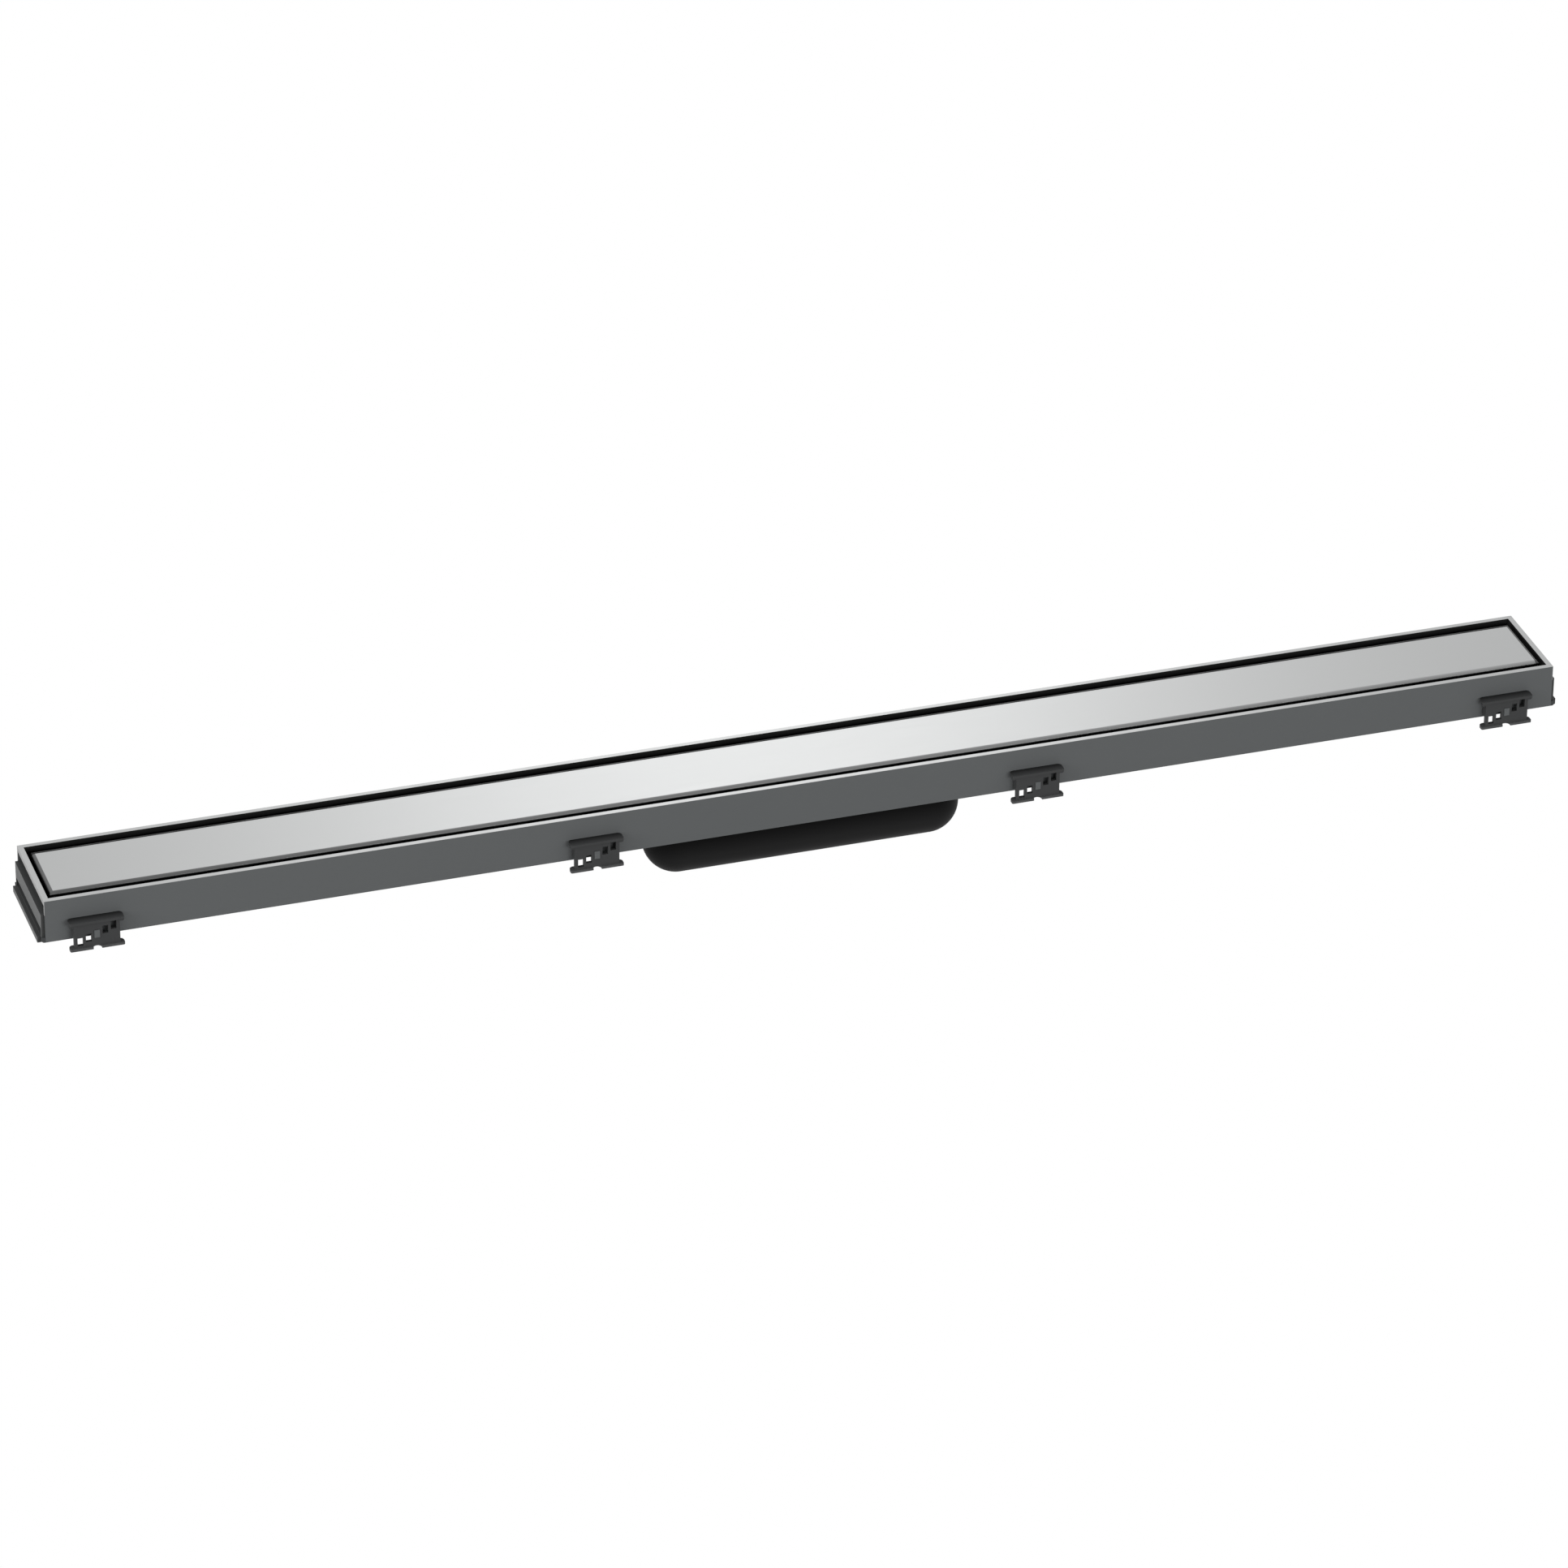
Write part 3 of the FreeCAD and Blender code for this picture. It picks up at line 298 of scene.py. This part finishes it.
def strokes(paint, point, settings):
    """Brush strokes between 0 and 1: noise stretched along the drain."""
    along, across = 1 / settings.grain_length, 1 / settings.grain_width
    stretched = paint.node("ShaderNodeMapping", values={0: point, "Scale": (along, across, across)}, output=0)
    return paint.noise(stretched, 1.0, GRAIN_DETAIL)


def brushed(name, settings, base):
    """Steel with fine strokes along the drain. base is its colour, or gives it by the place."""
    material, paint, shader = finish(name)
    point, place = paint.place()
    grain = strokes(paint, point, settings)
    shown = base(paint, settings, *place) if callable(base) else base
    smoothest = settings.cover_roughness - BRUSHED_STEEL.rough / 2
    tone = paint.tone(point, grain, BRUSHED_STEEL)
    connect(paint, shader, Base_Color=paint.scaled(shown, tone), Metallic=1.0,
            Roughness=smoothest + grain * BRUSHED_STEEL.rough,
            Normal=paint.bump(grain * settings.grain_depth))
    return material


def cover_painted_shade(paint, settings, x, y, z):
    """The cover's colour with painted light and shade: full on top, fading down its folds as painted shade
    that brightens to the right, dark at the rear fold and underneath.
    """
    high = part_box("cover")[1]
    depth = high.z - z
    # Painted shade: below the flat the folds fade towards the dark colour, and the rear fold and the
    # underside stay dark.
    flat = (depth < COVER_FLAT) * (abs(x) < END_FOLD)
    rising = x * settings.fold_shade_rise + settings.fold_shade_share
    right = 1.0 - (x > END_FOLD) * (1.0 - settings.right_fold_shade)
    fold = (1.0 - depth / settings.fold_shade_depth).held() * rising * right
    lit = flat.larger(fold) * (y < REAR_FOLD_SHADE)
    return paint.blend(lit, opaque(settings.inner_shade_colour), opaque(settings.cover_colour))


def nearer(x, y, limits):
    """1 where a point lies nearer the middle than two limits, along X and Y, else 0."""
    return (abs(y) < limits[1]) * (abs(x) < limits[0])


def frame_steel(settings):
    """The tile frame's steel: brushed on top, dull outside, satin on the rim's ends; painted shade inside,
    along the rim top's inner edge, and as a painted shadow on the ends behind the end clips.
    """
    material, paint, shader = finish("tile_frame_steel", FRAME_SPECULAR)
    point, (x, y, z) = paint.place()
    grain = strokes(paint, point, settings)
    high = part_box("frame")[1]
    # Painted shade: the rim's top is painted dark along its inner edge, like the frame's inner faces.
    top = (z > high.z - RIM_TOP) * (1.0 - nearer(x, y, RIM_SHADED_EDGE))
    # Painted shade: the frame's inner faces take the dark colour.
    inside = nearer(x, y, FRAME_SHADED_INSIDE) * (1.0 - top)
    outermost = abs(x) > FRAME_ENDS
    end = outermost * (z > END_CLIP_TOP)
    # Painted shadow: the frame's ends below the end clips' top are darkened.
    clip_shadowed = outermost - end
    wall = paint.blend(end, opaque(settings.wall_colour), opaque(settings.end_colour))
    side = paint.scaled(wall, 1.0 - clip_shadowed * CLIP_SHADOW_LOSS)
    below = paint.blend(inside, side, opaque(settings.inner_shade_colour))
    shown = paint.blend(top, below, opaque(settings.cover_colour))
    rough = top * (settings.cover_roughness - settings.wall_roughness) + settings.wall_roughness
    metal = top.larger(end) * (1.0 - settings.wall_metal) + settings.wall_metal
    tone = paint.tone(point, grain, DULL_STEEL)
    connect(paint, shader, Base_Color=paint.scaled(shown, tone), Metallic=metal,
            Roughness=rough + grain * DULL_STEEL.rough, Normal=paint.bump(grain * settings.grain_depth))
    return material


def moulded(name, base, settings, roughness=None, gloss=None, shade=None):
    """Moulded plastic or rubber with a fine matt grain. shade gives a factor of its colour by the place, for
    painted light and shade.
    """
    material, paint, shader = finish(name, settings.gloss if gloss is None else gloss)
    point, place = paint.place()
    grain = paint.noise(point, 1 / settings.grain_size, GRAIN_DETAIL)
    tone = paint.tone(point, grain, MOULDED_PLASTIC)
    if shade:
        tone = tone * shade(*place)
    smoothest = (settings.roughness if roughness is None else roughness) - MOULDED_PLASTIC.rough / 2
    connect(paint, shader, Base_Color=paint.scaled(base, tone),
            Roughness=smoothest + grain * MOULDED_PLASTIC.rough,
            Normal=paint.bump(grain * settings.grain_depth))
    return material


def sump_painted_shade(x, y, z):
    """Painted shade: nearly black down to the sump's flange, then a painted reflection, lighter towards the
    bottom of the bowl.
    """
    start, depth = BOWL_FADE
    return ((start - z) / depth + BOWL_START).held() + BOWL_SHADE_MIN


def side_clip_painted_shade(x, y, z):
    """Painted shade on top of the flange, darker towards the wall, and painted light on the foot."""
    start, width = FLANGE_FADE
    ramp = ((abs(y) - start) / width + FLANGE_START).held()
    return 1.0 - (z > FLANGE_TOP) * (1.0 - ramp) + (z < SIDE_FOOT) * FOOT_PAINTED_LIGHT


def end_clip_painted_shade(x, y, z):
    """Full colour on the web and the foot's front; painted shade, darker, on the faces that look up and in
    the window.
    """
    web = abs(x).within(*END_WEB) * (z < END_CLIP_TOP - END_CLIP_EDGE)
    foot = (abs(x) > END_FOOT[0]) * (z < END_FOOT[1])
    return (web + foot).held() * (1.0 - END_CLIP_SHADE) + END_CLIP_SHADE


def nodes_named(start):
    """The CAD nodes whose names have a given start."""
    return [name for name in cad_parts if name.startswith(start)]


def wear(material, *nodes):
    """Give CAD nodes a material."""
    for name in nodes:
        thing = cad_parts[name]
        if not thing.material_slots:
            raise RuntimeError("%s has no material slot" % name)
        for place in thing.material_slots:
            place.material = material


class DressSteel(bpy.types.Operator):
    """Give the cover and the tile frame their steel"""

    bl_idname = "drain.dress_steel"
    bl_label = "Cover and tile frame"

    def execute(self, context):
        steel = context.scene.drain_steel
        wear(brushed("cover_steel", steel, cover_painted_shade), "cover")
        wear(frame_steel(steel), "frame")
        return {"FINISHED"}


class DressSmallSteel(bpy.types.Operator):
    """Give the screws and the strainer their steel"""

    bl_idname = "drain.dress_small_steel"
    bl_label = "Screws and strainer"

    def execute(self, context):
        steel = context.scene.drain_steel
        wear(brushed("small_steel", steel, steel.screw_colour), "flange_screws", "strainer")
        return {"FINISHED"}


class DressChannel(bpy.types.Operator):
    """Give the channel, the cover's supports and the sump their black plastic"""

    bl_idname = "drain.dress_channel"
    bl_label = "Channel and sump"

    def execute(self, context):
        plastic = context.scene.drain_plastic
        black = moulded("channel_plastic", plastic.sump_colour, plastic, gloss=plastic.sump_gloss,
                        shade=sump_painted_shade)
        wear(black, "channel", "sump", *nodes_named("cover_support"))
        return {"FINISHED"}


class DressClips(bpy.types.Operator):
    """Give the side and end clips their grey plastic"""

    bl_idname = "drain.dress_clips"
    bl_label = "Clips"

    def execute(self, context):
        plastic = context.scene.drain_plastic
        side = moulded("side_clip_plastic", plastic.clip_colour, plastic, shade=side_clip_painted_shade)
        end = moulded("end_clip_plastic", plastic.end_clip_colour, plastic, shade=end_clip_painted_shade)
        wear(side, *nodes_named("side_clip"))
        wear(end, *nodes_named("end_clip"))
        return {"FINISHED"}


class DressTrap(bpy.types.Operator):
    """Give the trap insert and the seals their plastic and rubber"""

    bl_idname = "drain.dress_trap"
    bl_label = "Trap insert and seals"

    def execute(self, context):
        plastic = context.scene.drain_plastic
        rubber = moulded("seal_rubber", plastic.seal_colour, plastic, SEAL_ROUGHNESS, SEAL_SPECULAR)
        wear(moulded("trap_plastic", plastic.trap_colour, plastic), "trap_insert")
        wear(rubber, "sump_gasket", "insert_seal")
        return {"FINISHED"}


def add_object(name, data):
    """A new object in the scene."""
    thing = bpy.data.objects.new(name, data)
    bpy.context.scene.collection.objects.link(thing)
    return thing


def add_camera(scene, stage):
    """The camera that looks at the drain from the photo's side."""
    right, up = Vector(stage.camera_right).normalized(), Vector(stage.camera_up).normalized()
    turn = Matrix((right, up, right.cross(up))).transposed()
    lens = bpy.data.cameras.new("camera")
    lens.sensor_width, lens.lens = SENSOR_WIDTH, stage.focal_length
    lens.shift_x, lens.shift_y = -stage.lens_shift, stage.lens_shift
    lens.clip_start, lens.clip_end = CLIP_RANGE
    camera = add_object("camera", lens)
    camera.matrix_world = Matrix.Translation(stage.camera_place) @ turn.to_4x4()
    scene.camera = camera


def add_lamp(lamp, watts):
    """A rectangular lamp that faces its target."""
    light = bpy.data.lights.new(lamp.name, "AREA")
    light.shape = "RECTANGLE"
    light.size, light.size_y, light.energy = lamp.width, lamp.height, watts
    thing = add_object(lamp.name, light)
    thing.location = lamp.place
    ahead = Vector(lamp.target) - Vector(lamp.place)
    thing.rotation_euler = ahead.to_track_quat("-Z", "Y").to_euler()


def background(paint, white_kind, shader_else):
    """White for what the camera, glossy and clear faces see, and another shader for the rest."""
    path = paint.node("ShaderNodeLightPath")
    rays = ("Is Camera Ray", "Is Glossy Ray", "Is Transmission Ray")
    camera, glossy, clear = [Wire(paint, path.outputs[name]) for name in rays]
    white = paint.node(white_kind, values={"Color": WHITE, "Strength": 1.0}, output=0)
    seen = (camera + glossy + clear) > 0.5
    return paint.node("ShaderNodeMixShader", values={0: seen, 1: shader_else, 2: white}, output=0)


def add_floor(stage):
    """The floor under the drain."""
    half = stage.floor_size / 2
    corners = [(x, y, -stage.floor_depth) for x in (-half, half) for y in (-half, half)]
    sheet = bpy.data.meshes.new("floor")
    sheet.from_pydata(corners, [], [(0, 2, 3, 1)])
    floor = add_object("floor", sheet)

    material = bpy.data.materials.new("floor")
    material.use_nodes = True
    paint = Paint(material.node_tree)
    matt = paint.node("ShaderNodeBsdfDiffuse", values={"Color": opaque(stage.floor_colour)}, output=0)
    paint.node("ShaderNodeOutputMaterial", values={0: background(paint, "ShaderNodeEmission", matt)})
    sheet.materials.append(material)


def add_world(scene, stage):
    """Even light from all round, and the white background."""
    world = bpy.data.worlds.new("background")
    world.use_nodes = True
    scene.world = world
    paint = Paint(world.node_tree)
    even = paint.node("ShaderNodeBackground", values={"Color": WHITE, "Strength": stage.ambient}, output=0)
    paint.node("ShaderNodeOutputWorld", values={0: background(paint, "ShaderNodeBackground", even)})


class BuildStage(bpy.types.Operator):
    """Make the camera, the lamps, the floor and the background"""

    bl_idname = "drain.build_stage"
    bl_label = "Camera, lamps and floor"

    def execute(self, context):
        scene, stage = context.scene, context.scene.drain_stage
        add_camera(scene, stage)
        for lamp in LAMPS:
            add_lamp(lamp, getattr(stage, lamp.power))
        add_floor(stage)
        add_world(scene, stage)
        scene.view_settings.view_transform = "Standard"
        return {"FINISHED"}


OPERATORS = (BuildStage, DressSteel, DressSmallSteel, DressChannel, DressClips, DressTrap)
SETTINGS = {"drain_steel": SteelSettings, "drain_plastic": PlasticSettings, "drain_stage": StageSettings}


class DrainPanel(bpy.types.Panel):
    """The drain's settings and steps"""

    bl_idname = "VIEW3D_PT_drain"
    bl_label = "Linear shower drain"
    bl_space_type = "VIEW_3D"
    bl_region_type = "UI"
    bl_category = "Drain"

    def draw(self, context):
        for operator in OPERATORS:
            self.layout.operator(operator.bl_idname)
        for name, group in SETTINGS.items():
            part = self.layout.box()
            part.label(text=group.__doc__)
            for setting in group.__annotations__:
                part.prop(getattr(context.scene, name), setting)


def register():
    for made in (*SETTINGS.values(), *OPERATORS, DrainPanel):
        bpy.utils.register_class(made)
    for name, group in SETTINGS.items():
        setattr(bpy.types.Scene, name, PointerProperty(type=group))


def unregister():
    for name in SETTINGS:
        delattr(bpy.types.Scene, name)
    for made in (DrainPanel, *reversed(OPERATORS), *SETTINGS.values()):
        bpy.utils.unregister_class(made)


def main():
    register()
    for operator in OPERATORS:
        group, name = operator.bl_idname.split(".")
        getattr(getattr(bpy.ops, group), name)()


if __name__ == "__main__":
    main()
